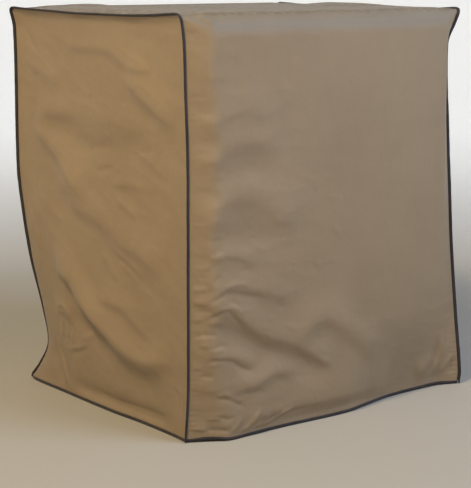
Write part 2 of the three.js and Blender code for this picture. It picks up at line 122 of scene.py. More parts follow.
SIDE_HELD = 0.06
SIDE_END = 0.02
SIDE_TOP_HELD = 0.02
BACK_HELD = 0.12
FOLD_FOOT = 12.0
HEM_TURN = 220.0
LIFT_FADE = 120.0


def fold(height, above, below, *path, crisp=2.0):
    """One fold: its crest line, how far it spreads above and below, and how sharp the crest is."""
    return {"height": height, "above": above, "below": below, "path": path, "crisp": crisp}


def folds(*rows):
    """Folds from plain rows: height, spreads, how sharp the crest is where that is given, and its points."""
    return [
        fold(*row) if isinstance(row[3], tuple) else fold(*row[:3], *row[4:], crisp=row[3])
        for row in rows
    ]


# Main folds, as in the solids
FRONT_FOLDS = folds(
    (3, 44, 22, (-399, 772), (-330, 806), (-240, 796), (-190, 776)),
    (5, 44, 28, (-399, 692), (-340, 726), (-250, 724), (-180, 696)),
    (-2, 26, 30, (-399, 640), (-300, 655), (-200, 640)),
    (6, 50, 34, (-399, 560), (-345, 600), (-250, 584), (-170, 535), (-120, 500)),
    (-3, 24, 34, (-399, 500), (-280, 500), (-170, 475)),
    (3.5, 30, 16, (-399, 440), (-330, 450), (-250, 424)),
    (4, 34, 17, (-399, 368), (-330, 374), (-230, 354), (-130, 318)),
    (7.5, 40, 20, (-399, 330), (-340, 316), (-250, 254), (-140, 210), (-60, 160), (0, 130)),
    (-4, 20, 40, (-399, 285), (-320, 255), (-240, 205), (-130, 160), (-30, 105)),
    (7, 44, 28, (-170, 214), (-110, 246), (-45, 266), (20, 232), (90, 176), (160, 122)),
    (4, 22, 16, (-399, 210), (-330, 202), (-250, 170)),
    (6.5, 30, 18, (-360, 120), (-270, 132), (-205, 152), (-120, 122)),
    (9, 80, 24, (-340, 36), (-130, 52), (60, 56), (220, 46)),
    (-2.5, 16, 12, (-340, 16), (-160, 20), (20, 22), (140, 16)),
    (7, 30, 24, (300, 40), (350, 62), (390, 92)),
)
LEFT_FOLDS = folds(
    (11, 38, 32, (-320, 190), (-200, 168), (-110, 186), (0, 236), (60, 272), (118, 316), (180, 364),
     (240, 406)),
    (6.5, 38, 24, (-60, 204), (0, 234), (60, 268), (118, 312), (200, 372)),
    (6, 24, 20, (130, 300), (172, 328), (232, 332)),
    (7, 100, 96, (-320, 190), (-110, 190), (60, 274), (180, 364), (350, 540)),
    (-5, 36, 44, (-280, 105), (-150, 108), (-30, 148), (70, 206), (130, 250), (190, 296)),
    (9, 56, 28, (-270, 392), (-168, 440), (-80, 458), (0, 500), (104, 524), (170, 570), (240, 590)),
    (10, 54, 24, (60, 536), (150, 600), (208, 648), (264, 682), (350, 730)),
    (-5, 34, 46, (-210, 700), (-100, 690), (0, 684), (90, 688), (150, 704), (230, 722), (320, 738)),
    (3, 46, 26, (-210, 742), (-60, 756), (120, 766), (230, 762), (330, 750)),
    (5, 30, 26, (120, 756), (220, 758), (350, 752)),
    (10, 50, 22, (-330, 750), (-280, 784), (-168, 840), (-90, 888)),
    (7, 40, 17, (-230, 228), (-168, 252), (-104, 284), (-40, 294), (30, 306)),
    (5, 40, 16, (-240, 896), (-120, 902), (-32, 936), (80, 938), (190, 940)),
    (5, 34, 20, (180, 814), (240, 848), (320, 876), (396, 902)),
    (-6, 12, 30, (180, 12), (212, 62), (262, 140)),
    (7, 30, 24, (120, 215), (200, 238), (250, 215)),
    (-8, 24, 15, (-320, 26), (-100, 25), (60, 30), (150, 38)),
)
RIGHT_FOLDS = folds(
    (15, 80, 40, (-330, 250), (-150, 330), (60, 340), (260, 250)),
    (-11, 60, 45, (-340, 640), (-150, 560), (60, 520), (280, 600)),
    (8, 60, 40, (-300, 820), (-60, 860), (200, 800)),
    (-8, 34, 34, (-300, 90), (-100, 140), (140, 110), (320, 150)),
)
SIDE_FOLDS = {"left": LEFT_FOLDS, "right": RIGHT_FOLDS}
TOP_FOLDS = folds(
    (6, 90, 90, (-380, 250), (-300, 290), (-220, 300)),
    (7, 90, 90, (240, -160), (340, -60), (360, 120)),
    (-4, 40, 40, (-190, 340), (-150, 240), (-120, 120)),
)

# Small creases that only the fine cloth carries
FRONT_CREASES = folds(
    (-3.0, 6, 9, 1.3, (-399, 352), (-372, 366), (-340, 364), (-290, 352), (-230, 338)),
    (2.4, 10, 5, 1.5, (-385, 377), (-330, 384), (-285, 372)),
    (-3.4, 6, 9, 1.3, (-399, 312), (-372, 322), (-345, 308), (-300, 268)),
    (2.6, 5, 8, 1.3, (-404, 338), (-376, 330), (-344, 328), (-310, 304)),
    (-1.6, 5, 7, 1.4, (-399, 231), (-372, 238), (-345, 233)),
    (-3.6, 6, 9, 1.3, (-399, 203), (-350, 196), (-312, 172), (-262, 156)),
    (-3.0, 5, 8, 1.3, (-405, 98), (-384, 106), (-358, 100), (-333, 86), (-300, 70)),
    (2.0, 6, 5, 1.4, (-396, 112), (-372, 116), (-350, 108)),
    (-1.8, 6, 8, 1.5, (-399, 436), (-360, 446), (-285, 430)),
    (-1.6, 5, 6, 1.4, (-404, 392), (-388, 402), (-372, 414)),
    (4.6, 6, 8, 1.2, (-332, 12), (-300, 28), (-276, 50), (-262, 70)),
    (5.2, 6, 6, 1.2, (-270, 14), (-224, 28), (-190, 39), (-150, 56)),
    (3.8, 5, 6, 1.2, (-286, 14), (-256, 28), (-232, 46)),
    (-4.0, 10, 9, 1.5, (-312, 24), (-250, 32), (-197, 33), (-130, 38), (-68, 44)),
    (2.6, 5, 7, 1.2, (-372, 12), (-352, 22), (-330, 40), (-318, 62)),
    (-2.4, 6, 8, 1.3, (-392, 62), (-362, 54), (-338, 58)),
    (-2.6, 8, 8, 1.4, (-399, 30), (-370, 26), (-340, 14)),
    (-2.0, 9, 11, 1.5, (-345, 113), (-285, 108), (-240, 112)),
    (5.0, 7, 20, 1.3, (366, 24), (384, 52), (396, 82), (402, 116), (404, 160)),
    (-4.0, 12, 7, 1.4, (352, 32), (372, 62), (386, 96), (390, 150)),
    (-3.4, 8, 8, 1.3, (428, 24), (435, 50), (434, 80)),
    (3.0, 8, 6, 1.3, (398, 30), (418, 58), (440, 92)),
    (-2.6, 6, 6, 1.4, (414, 96), (420, 140), (418, 190)),
    (1.4, 16, 16, (368, 330), (376, 520), (370, 720)),
    (-1.2, 12, 12, (-330, 960), (-325, 880), (-318, 810)),
    (-1.0, 12, 12, (-255, 960), (-250, 890), (-240, 830)),
    (-1.0, 12, 12, (-180, 955), (-176, 900), (-165, 840)),
)
LEFT_CREASES = folds(
    (-2.6, 11, 17, 1.3, (-70, 690), (0, 686), (50, 680), (68, 676), (96, 698), (130, 728)),
    (-1.6, 9, 12, 1.4, (-150, 688), (-190, 690), (-240, 700)),
    (3.4, 12, 9, 1.4, (-205, 360), (-152, 390), (-120, 406), (-56, 434), (-8, 466)),
    (2.6, 10, 8, 1.4, (-170, 352), (-120, 380), (-70, 402)),
    (3.0, 14, 12, 1.5, (-92, 350), (-56, 366), (-24, 396), (14, 414)),
    (3.6, 16, 12, 1.6, (-165, 518), (-120, 538), (-80, 556), (-50, 560)),
    (2.4, 20, 12, (-240, 590), (-144, 604), (-20, 600)),
    (2.8, 22, 14, (-290, 630), (-232, 658), (-185, 698)),
    (-2.4, 9, 9, 1.6, (-60, 640), (0, 628), (40, 618)),
    (4.2, 6, 7, 1.25, (144, 190), (156, 219), (174, 237), (198, 243), (226, 232)),
    (3.2, 6, 6, 1.25, (164, 196), (178, 218), (196, 224), (214, 214)),
    (3.0, 8, 8, 1.3, (208, 146), (202, 180), (206, 212)),
    (3.0, 8, 8, 1.3, (172, 148), (168, 180), (176, 208)),
    (2.6, 8, 8, 1.3, (148, 136), (144, 166), (150, 192)),
    (3.0, 9, 8, 1.4, (48, 172), (96, 146), (150, 130), (205, 120)),
    (-2.4, 7, 8, 1.4, (64, 148), (110, 128), (160, 116)),
    (2.2, 9, 8, 1.5, (30, 190), (80, 172), (124, 150)),
    (4.4, 6, 16, 1.25, (160, 14), (196, 65), (221, 97), (248, 132)),
    (-4.0, 14, 6, 1.4, (144, 16), (180, 66), (206, 100), (234, 136)),
    (-6.0, 36, 40, (-80, 140), (0, 178), (60, 214), (120, 262)),
    (7.5, 20, 44, 1.25, (-300, 182), (-200, 168), (-110, 186), (0, 236), (60, 272), (118, 316)),
    (-2.6, 8, 9, 1.4, (-344, 62), (-334, 96), (-306, 126)),
    (2.4, 8, 8, 1.4, (-356, 74), (-348, 104), (-330, 134)),
    (-2.6, 7, 9, 1.4, (-300, 36), (-200, 38), (-80, 34), (0, 36), (62, 52)),
    (-2.0, 10, 10, 1.5, (312, 906), (352, 944), (396, 990)),
    (3.4, 22, 22, (304, 296), (320, 360), (340, 424), (392, 516)),
    (-3.4, 16, 16, (282, 290), (298, 352), (312, 418), (356, 505)),
    (1.8, 14, 10, 1.5, (-232, 892), (-180, 892), (-110, 896)),
)

# The pinch beside the near top tip, by distance from the left seam and from the hem
TIP_CREASES = folds(
    (7.0, 8, 7, 1.2, (30, 1052), (48, 1040), (62, 1022), (72, 1002)),
    (-4.5, 6, 9, 1.3, (46, 1058), (64, 1046), (82, 1026)),
    (-1.8, 5, 7, 1.3, (8, 972), (22, 984), (34, 996)),
)
SEED = 7


def smooth(value):
    value = np.clip(value, 0.0, 1.0)
    return value * value * (3.0 - 2.0 * value)


def mix(a, b, share):
    return a + (b - a) * share


def read(columns, key, column, at):
    """Smooth curve through one column of a table."""
    keys, values = columns[key], columns[column]
    at = np.clip(at, keys[0], keys[-1])
    high = np.clip(np.searchsorted(keys, at), 1, len(keys) - 1)
    low = high - 1
    order = np.arange(len(keys))
    before, after = np.maximum(order - 1, 0), np.minimum(order + 1, order[-1])
    slope = (values[after] - values[before]) / (keys[after] - keys[before])
    span = keys[high] - keys[low]
    t = (at - keys[low]) / span
    start = (1 + 2 * t) * (1 - t) ** 2 * values[low] + t * (1 - t) ** 2 * span * slope[low]
    end = t * t * (3 - 2 * t) * values[high] - t * t * (1 - t) * span * slope[high]
    return start + end


def rounded(path, steps=8):
    """A line through the path's points with its kinks rounded."""
    points = np.array(path, float)
    if len(points) < 3:
        return points
    before = np.vstack((2 * points[0] - points[1], points[:-1]))
    after = np.vstack((points[1:], 2 * points[-1] - points[-2]))
    slope = (after - before) / 2
    t = np.linspace(0, 1, steps, endpoint=False)[:, None]
    line = [
        (1 + 2 * t) * (1 - t) ** 2 * points[i] + t * (1 - t) ** 2 * slope[i]
        + t * t * (3 - 2 * t) * points[i + 1] - t * t * (1 - t) * slope[i + 1]
        for i in range(len(points) - 1)
    ]
    return np.vstack((*line, points[-1:]))


def fold_height(drawn, a, b):
    """Height of a panel's folds at places on it."""
    a, b = np.broadcast_arrays(np.asarray(a, float), np.asarray(b, float))
    total = np.zeros(a.shape)
    for one in drawn:
        line = rounded(one["path"])
        reach = FOLD_REACH * max(one["above"], one["below"])
        low, high = line.min(0) - reach, line.max(0) + reach
        near = (a > low[0]) & (a < high[0]) & (b > low[1]) & (b < high[1])
        if not near.any():
            continue
        pa, pb = a[near][:, None], b[near][:, None]
        start, step = line[:-1], np.diff(line, axis=0)
        length = np.hypot(step[:, 0], step[:, 1])
        ua, ub = step[:, 0] / length, step[:, 1] / length
        run = np.clip((pa - start[:, 0]) * ua + (pb - start[:, 1]) * ub, 0, length)
        distance = np.hypot(pa - start[:, 0] - run * ua, pb - start[:, 1] - run * ub)
        best = distance.argmin(1)
        rows = np.arange(len(best))
        side = (ua * (pb - start[:, 1]) - ub * (pa - start[:, 0]))[rows, best]
        done = np.concatenate(([0], np.cumsum(length)))[best] + run[rows, best]
        ramp = min(FOLD_RAMP, FOLD_RAMP_SHARE * length.sum())
        spread = np.where(side > 0, one["above"], one["below"])
        from_corner = one["path"][0][0] == LEFT_CORNER
        fade = smooth((length.sum() - done) / ramp) * (1.0 if from_corner else smooth(done / ramp))
        total[near] += one["height"] * fade * np.exp(-((distance[rows, best] / spread) ** one["crisp"]))
    return total


NOISE_CELLS = 64
NOISE_GAIN = 1.5


def noise(a, b, size, seed):
    """Smooth gradient noise between about -1 and 1, with cells of the given size."""
    turns = np.random.default_rng(seed).random((NOISE_CELLS, NOISE_CELLS)) * 2 * math.pi
    x, y = np.asarray(a) / size, np.asarray(b) / size
    x0, y0 = np.floor(x).astype(int), np.floor(y).astype(int)
    fx, fy = x - x0, y - y0

    def corner(i, j):
        turn = turns[(x0 + i) % NOISE_CELLS, (y0 + j) % NOISE_CELLS]
        return np.cos(turn) * (fx - i) + np.sin(turn) * (fy - j)

    sx, sy = smooth(fx), smooth(fy)
    near = mix(corner(0, 0), corner(1, 0), sx)
    far = mix(corner(0, 1), corner(1, 1), sx)
    return NOISE_GAIN * mix(near, far, sy)


# Seams: the upright ones' edges, the way in from each, and the table column that draws it in
UPRIGHTS = {"front": (FRONT, 1, "fore"), "back": (BACK, -1, "aft")}


def round_in(over):
    """How far a seam has turned in where it is this far into its rounded tip."""
    return EAR_ROUND - np.sqrt(EAR_ROUND**2 - np.clip(over, 0, EAR_ROUND) ** 2)


def upright_seam(end, side, z):
    """Points of an upright seam at levels up to the tip, where it rounds into the top seam."""
    edge, inward, column = UPRIGHTS[end]
    data = SEAMS[side]
    level = np.maximum(z, BAND_TOP)
    x = data["sign"] * (HALF_WIDTH + read(data[end], "z", "out", level))
    drawn = read(data[end], "z", column, level)
    y = edge - inward * drawn + inward * round_in(z - (HEIGHT - EAR_ROUND))
    return np.stack((x, y, z + 0 * x), -1)


def seam_front(side, z):
    return upright_seam("front", side, z)


def seam_back(side, z):
    return upright_seam("back", side, z)


def seam_top(side, y):
    data = SEAMS[side]
    x = data["sign"] * (HALF_WIDTH + read(data["top"], "y", "out", y))
    drop = round_in(np.maximum(FRONT + EAR_ROUND - y, y - BACK + EAR_ROUND))
    z = HEIGHT + read(data["top"], "y", "rise", y) - drop
    return np.stack((x, y + 0 * x, z), -1)


TIP_DROP = EAR_ROUND * (1 - math.sqrt(0.5))


def ear_line(side, angle, seam_end, top_start, seam_curve):
    """Points of the seam while the cloth between turns through a bend: up to the tip, then past it."""
    eighth = math.pi / 8
    up = np.interp(angle, [0, eighth, 2 * eighth], [seam_end, HEIGHT - EAR_ROUND, HEIGHT - TIP_DROP])
    edge, inward = (FRONT, 1) if top_start < 0 else (BACK, -1)
    over = np.interp(
        angle,
        [2 * eighth, 3 * eighth, 4 * eighth],
        [edge + inward * TIP_DROP, edge + inward * EAR_ROUND, top_start],
    )
    return np.where((angle < 2 * eighth)[:, None], seam_curve(side, up), seam_top(side, over))


# Wrap panel: the surface between the corners
def top_level(x, y):
    return TOP_LEVEL + fold_height(TOP_FOLDS, x, y)


def front_fore(x, z):
    rise = z - BAND_TOP
    flat = mix(read(FRONT_HEM, "x", "fore", x), read(FRONT_BODY, "x", "fore", x), smooth(rise / HEM_TURN))
    return flat + fold_height(FRONT_FOLDS, x, z) * smooth(rise / FOLD_FOOT)


def front_zone(x, z):
    lift = np.maximum(read(FRONT_HEM, "x", "lift", x), 0) * (1 - smooth((z - BAND_TOP) / LIFT_FADE))
    return np.stack((x, FRONT - front_fore(x, z), z + lift), -1)


def front_bend_zone(x, angle):
    start = FRONT - read(FRONT_BODY, "x", "fore", x)
    rise = top_level(x, start + BEND_RADIUS) - BEND_LEVEL
    return np.stack(
        (x, start + BEND_RADIUS * (1 - np.cos(angle)), BEND_LEVEL + rise * np.sin(angle)), -1
    )


def top_zone(x, share):
    start = FRONT - read(FRONT_BODY, "x", "fore", x)
    y = mix(start + BEND_RADIUS, BACK_BEND_START, share)
    return np.stack((x, y, top_level(x, y)), -1)


def back_point(x, z, left, right):
    share = (x + HALF_WIDTH) / (2 * HALF_WIDTH)
    turns = BACK_FLUTE["count"] * share + BACK_FLUTE["start"]
    flute = BACK_FLUTE["height"] * (1 - z / HEIGHT) * np.sin(2 * math.pi * turns)
    held = smooth(np.minimum(share, 1 - share) / BACK_HELD)
    left_pull = (left[..., 1] - BACK) * np.clip(1 - share / SEAM_PULL_SHARE, 0, 1) ** 2
    right_pull = (right[..., 1] - BACK) * np.clip(1 - (1 - share) / SEAM_PULL_SHARE, 0, 1) ** 2
    y = BACK + held * (BACK_BULGE + flute) + left_pull + right_pull
    return np.stack((mix(left[..., 0], right[..., 0], share), y, z + 0 * y), -1)


def back_bend_zone(x, angle, left, right):
    foot = back_point(x, BEND_LEVEL + 0 * x, left, right)
    rise = top_level(x, BACK_BEND_START + 0 * x) - BEND_LEVEL
    y = BACK_BEND_START + (foot[..., 1] - BACK_BEND_START) * np.sin(angle)
    return np.stack((foot[..., 0], y, BEND_LEVEL + rise * np.cos(angle)), -1)


# The left front corner wanders to the right where a fold runs into it
CORNER_LINE = table(
    "z shift",
    (0, 0), (60, 3), (96, 6), (140, 0), (200, 5), (240, -2), (300, 1), (326, 7), (348, 2), (372, 7),
    (400, 0), (446, 6), (480, -2), (545, 0), (575, 5), (606, 13), (640, 3), (690, 4), (724, 13),
    (760, 3), (780, 2), (802, 7), (845, 0), (910, -3), (975, 0),
)
WRAP_ROWS = {"front": 215, "bend": 20, "top": 84, "back": 116}
BODY_COLUMNS = 163
LOW_GROWTH = 1.25
STRIP_COLUMNS = 15


def strip_grid(left, right, zone, shift=0.0):
    """Rows of the wrap panel: corner strips from each seam, and the zone's own surface between."""
    start = LEFT_CORNER + shift * np.ones(len(left))
    column = np.linspace(0, 1, BODY_COLUMNS + 1) ** LOW_GROWTH
    body = zone(mix(start[:, None], RIGHT_CORNER, column[None, :]))
    share = np.linspace(0, 1, STRIP_COLUMNS, endpoint=False)[None, :, None]
    left_strip = mix(left[:, None], body[:, :1], share)
    right_strip = mix(right[:, None], body[:, -1:], share)[:, ::-1]
    return np.concatenate((left_strip, body, right_strip), 1)


def wrap_grid():
    foot_rows, seam_end = [PANEL_FOOT, SECOND_ROW], HEIGHT - EAR_REACH
    share = np.linspace(0, 1, WRAP_ROWS["front"]) ** LOW_GROWTH
    seam_z = np.concatenate((foot_rows, mix(BAND_TOP, seam_end, share)))
    body_z = np.concatenate((foot_rows, mix(BAND_TOP, BEND_LEVEL, share)))
    front = strip_grid(
        seam_front("left", seam_z), seam_front("right", seam_z),
        lambda x: front_zone(x, body_z[:, None]), read(CORNER_LINE, "z", "shift", body_z),
    )
    angle = np.linspace(0, math.pi / 2, WRAP_ROWS["bend"] + 2)[1:-1]
    edges = [ear_line(s, angle, seam_end, FRONT + EAR_REACH, seam_front) for s in SEAMS]
    front_bend = strip_grid(*edges, lambda x: front_bend_zone(x, angle[:, None]))
    top_share = np.linspace(0, 1, WRAP_ROWS["top"])
    seam_y = mix(FRONT + EAR_REACH, BACK - EAR_REACH, top_share)
    top = strip_grid(
        seam_top("left", seam_y), seam_top("right", seam_y), lambda x: top_zone(x, top_share[:, None])
    )
    edges = [ear_line(s, angle, seam_end, BACK - EAR_REACH, seam_back) for s in SEAMS]
    left_end, right_end = [edge[::-1] for edge in edges]
    back_bend = strip_grid(
        left_end, right_end,
        lambda x: back_bend_zone(x, angle[:, None], left_end[:, None], right_end[:, None]),
    )
    share = np.linspace(1, 0, WRAP_ROWS["back"])
    seam_z = np.concatenate((mix(BAND_TOP, seam_end, share), foot_rows[::-1]))
    low_z = np.concatenate((mix(BAND_TOP, BEND_LEVEL, share), foot_rows[::-1]))
    left, right = seam_back("left", seam_z), seam_back("right", seam_z)
    back = strip_grid(
        left, right, lambda x: back_point(x, low_z[:, None], left[:, None], right[:, None])
    )
    zones = [front, front_bend, top, back_bend, back]
    return np.concatenate(zones, 0), np.cumsum([len(zone) for zone in zones])


# Side panels: stretched between their seams and hem, with the folds standing out from that
SIDE_TIP = HEIGHT - TIP_DROP


def side_loft(side, share, z):
    """Side surface between its two seams: straight but for the back seam's pull, which stays near it."""
    straight = seam_back(side, np.maximum(z, SIDE_PULL["top"]))
    straight[..., 2] = z
    pull = np.clip(1 - (1 - share) / SIDE_PULL["share"], 0, 1) ** 2
    flat = mix(seam_front(side, z), straight, share[..., None])
    return flat + pull[..., None] * (seam_back(side, z) - straight)


def side_points(side, share, z):
    """Points of a side panel at shares of its depth and levels of its edges."""
    sign = SEAMS[side]["sign"]
    foot = side_loft(side, share, np.full_like(z, PANEL_FOOT))
    tip = side_loft(side, share, np.full_like(z, SIDE_TIP))
    hem = foot.copy()
    ends = smooth(np.minimum(share, 1 - share) / SIDE_END)
    hem_x = sign * (HALF_WIDTH + read(SIDE_HEM[side], "y", "out", foot[..., 1]))
    hem[..., 0] = mix(foot[..., 0], hem_x, ends)
    top = seam_top(side, tip[..., 1])
    up = ((z - PANEL_FOOT) / (SIDE_TIP - PANEL_FOOT))[..., None]
    point = side_loft(side, share, z) + (1 - up) * (hem - foot) + up * (top - tip)
    held = smooth(np.minimum(share, 1 - share) / SIDE_HELD) * smooth((1 - up[..., 0]) / SIDE_TOP_HELD)
    tuck = UNDER_SEAM["depth"] * np.exp(
        -(((point[..., 2] - UNDER_SEAM["level"]) / UNDER_SEAM["spread"]) ** 2)
    )
    stand = fold_height(SIDE_FOLDS[side], point[..., 1], point[..., 2]) - tuck
    point[..., 0] += sign * held * smooth((z - BAND_TOP) / FOLD_FOOT) * stand
    return point


def unit(vectors):
    return vectors / np.maximum(np.linalg.norm(vectors, axis=-1, keepdims=True), 1e-9)


def grid_normals(grid):
    return unit(np.cross(np.gradient(grid, axis=1), np.gradient(grid, axis=0)))


def line_lengths(points):
    steps = np.linalg.norm(np.diff(points, axis=0), axis=1)
    return np.concatenate(([0], np.cumsum(steps)))


# Fine relief: ripples, buckles and creases, in millimetres
PUCKER = {"pitch": 13.0, "reach": 17.0, "height": 0.7}
DRIFT = {"by": 9.0, "size": 55.0}
SWELL = {"mean": 0.6, "by": 0.6, "size": 70.0, "row": 40}
BEND = {"by": 14, "size": 130}
CRUMPLE_ACROSS = 1.4
BROAD = {"height": 0.7, "along": 0.7, "size": 140}
RIDGED = {"height": 0.5, "along": 0.55, "size": 66}
FINE = {"height": 0.13, "along": 0.8, "size": 19}
SHORT = {"half": (14, 42), "turn": 0.35, "sag": 4, "height": (0.35, 0.95), "spread": (4, 8)}
SMALL_CRISP = 1.3


def pucker(along, distance, seed):
    """Small ripples that a seam draws into the cloth beside it."""
    drift = DRIFT["by"] * noise(along, 0 * along, DRIFT["size"], seed)
    uneven = noise(along, 0 * along + SWELL["row"], SWELL["size"], seed + 1)
    swell = SWELL["mean"] + SWELL["by"] * uneven
    wave = np.sin(2 * math.pi * (along + drift) / PUCKER["pitch"])
    fade = np.exp(-((np.maximum(distance, 0) / PUCKER["reach"]) ** 1.5))
    return PUCKER["height"] * swell * wave * fade


def crumple(a, b, seed, turn=0.0):
    """Soft unevenness of coated cloth: broad buckles and faint sharp ridges, drawn out along one turn."""
    along = a * math.cos(turn) + b * math.sin(turn)
    across = b * math.cos(turn) - a * math.sin(turn)
    bend_a = along + BEND["by"] * noise(a, b, BEND["size"], seed)
    bend_b = across + BEND["by"] * noise(a, b, BEND["size"], seed + 1)

    def drawn_out(kind, kind_seed):
        return noise(bend_a * kind["along"], bend_b * CRUMPLE_ACROSS, kind["size"], kind_seed)

    broad = BROAD["height"] * drawn_out(BROAD, seed + 2)
    ridged = RIDGED["height"] * (0.5 - 2 * np.abs(drawn_out(RIDGED, seed + 3)))
    fine = FINE["height"] * drawn_out(FINE, seed + 4)
    return broad + ridged + fine


def short_creases(count, low, high, slope, seed):
    """Faint short creases scattered over an area, most of them along one slope."""
    rng = np.random.default_rng(seed)
    made = []
    for _ in range(count):
        a, b = rng.uniform(low[0], high[0]), rng.uniform(low[1], high[1])
        half = rng.uniform(*SHORT["half"])
        turn = slope + rng.normal(0, SHORT["turn"])
        sag = rng.normal(0, SHORT["sag"])
        da, db = half * math.cos(turn), half * math.sin(turn)
        height = rng.choice((-1, 1)) * rng.uniform(*SHORT["height"])
        path = ((a - da, b - db), (a + sag * math.sin(turn), b - sag * math.cos(turn)), (a + da, b + db))
        above, below = rng.uniform(*SHORT["spread"]), rng.uniform(*SHORT["spread"])
        made.append(fold(height, above, below, *path, crisp=SMALL_CRISP))
    return made


# The corner strip's creases: where they start, their lengths, and how their strength falls with height
STRIP = {"low": 30.0, "high": 960.0, "pitch": 14.0, "step": (0.4, 1.7), "tilt": 7, "bow": (2, 3)}
STRIP_SIZES = {"heights": (-1.9, 2.0), "wide": (6, 12), "narrow": (2.5, 4.5)}
STRIP_STARTS = (-446, -446, -430, -415)
STRIP_REACH = {"from_seam": (20, 50), "onward": (25, 75)}
STRIP_STRENGTH = {"high_share": 0.35, "from": 330, "over": 200, "uneven": (0.2, 1.5)}


def strip_creases(seed):
    """Small level creases drawn across the left corner strip, some reaching on to the front."""
    rng = np.random.default_rng(seed)
    made = []
    level = STRIP["low"]
    while level < STRIP["high"]:
        higher = smooth((level - STRIP_STRENGTH["from"]) / STRIP_STRENGTH["over"])
        strength = mix(1.0, STRIP_STRENGTH["high_share"], higher) * rng.uniform(*STRIP_STRENGTH["uneven"])
        start = rng.choice(STRIP_STARTS)
        reach = rng.uniform(*STRIP_REACH["from_seam" if start == STRIP_STARTS[0] else "onward"])
        tilt, bow = rng.normal(0, STRIP["tilt"]), rng.normal(*STRIP["bow"])
        path = ((start, level), (start + reach / 2, level + bow + tilt / 2), (start + reach, level + tilt))
        narrow, wide = rng.uniform(*STRIP_SIZES["narrow"]), rng.uniform(*STRIP_SIZES["wide"])
        height = strength * rng.choice(STRIP_SIZES["heights"])
        made.append(fold(height, wide, narrow, *path, crisp=SMALL_CRISP))
        level += STRIP["pitch"] * rng.uniform(*STRIP["step"])
    return made


def cloth_mesh(name, grid, flat, material):
    """A sheet on a grid of points, with its flat place as its texture coordinates."""
    rows, columns = grid.shape[:2]
    index = np.arange(rows * columns).reshape(rows, columns)
    quads = np.stack((index[:-1, :-1], index[:-1, 1:], index[1:, 1:], index[1:, :-1]), -1).reshape(-1, 4)
    return mesh_object(name, grid.reshape(-1, 3), quads, material, flat.reshape(-1, 2))


def mesh_object(name, points, faces, material, flat=None):
    mesh = bpy.data.meshes.new(name)
    faces = np.asarray(faces)
    mesh.vertices.add(len(points))
    mesh.vertices.foreach_set("co", (np.asarray(points) * MM).astype(np.float32).ravel())
    mesh.loops.add(faces.size)
    mesh.loops.foreach_set("vertex_index", faces.astype(np.int32).ravel())
    mesh.polygons.add(len(faces))
    mesh.polygons.foreach_set("loop_start", np.arange(0, faces.size, faces.shape[1], dtype=np.int32))
    mesh.update(calc_edges=True)
    mesh.validate()
    mesh.polygons.foreach_set("use_smooth", np.ones(len(mesh.polygons), bool))
    if flat is not None:
        layer = mesh.uv_layers.new(name="flat")
        layer.data.foreach_set("uv", (flat[faces.ravel()] * MM).astype(np.float32).ravel())
    mesh.materials.append(material)
    made = bpy.data.objects.new(name, mesh)
    bpy.context.scene.collection.objects.link(made)
    return made


# Materials
class Look:
    """A material, with its shader nodes added one by one."""

    def __init__(self, name, inputs):
        self.material = bpy.data.materials.new(name)
        self.material.use_nodes = True
        self.tree = self.material.node_tree
        self.shader = self.tree.nodes["Principled BSDF"]
        self.feed(self.shader, inputs)

    def feed(self, node, inputs):
        """Gives each input its value, or links it to another node's output."""
        for name, value in inputs.items():
            if isinstance(value, bpy.types.NodeSocket):
                self.tree.links.new(value, node.inputs[name])
            else:
                node.inputs[name].default_value = value

    def add(self, kind, inputs=None):
        node = self.tree.nodes.new("ShaderNode" + kind)
        self.feed(node, inputs or {})
        return node

    def noise(self, place, scale, detail, roughness=0.5):
        inputs = {"Vector": place, "Scale": scale, "Detail": detail, "Roughness": roughness}
        return self.add("TexNoise", inputs).outputs["Fac"]

    def wave(self, place, axis, inputs):
        """Bands that follow one another along an axis."""
        node = self.add("TexWave", {"Vector": place, **inputs})
        node.bands_direction = axis
        return node.outputs["Fac"]

    def product(self, first, second):
        node = self.add("Math", {0: first, 1: second})
        node.operation = "MULTIPLY"
        return node.outputs["Value"]

    def graded(self, value, start, stop, low=0.0, high=1.0):
        """The value's place between start and stop, as a number from low to high."""
        inputs = {"Value": value, "From Min": start, "From Max": stop, "To Min": low, "To Max": high}
        return self.add("MapRange", inputs).outputs["Result"]

    def ramp(self, value, *ends):
        """A colour between two ends, each a position and a colour."""
        node = self.add("ValToRGB", {"Fac": value})
        for element, (position, colour) in zip(node.color_ramp.elements, ends):
            element.position = position
            element.color = (*colour, 1)
        return node.outputs["Color"]

    def tinted(self, colour, by, share=1.0):
        """The colour multiplied by another, by the given share."""
        node = self.add("MixRGB", {"Fac": share, "Color1": colour, "Color2": by})
        node.blend_type = "MULTIPLY"
        return node.outputs["Color"]

    def bump(self, height, strength, distance, **under):
        """Relief in the shading, its depth in metres, over another relief where one is given."""
        inputs = {"Height": height, "Strength": strength, "Distance": distance, **under}
        return self.add("Bump", inputs).outputs["Normal"]


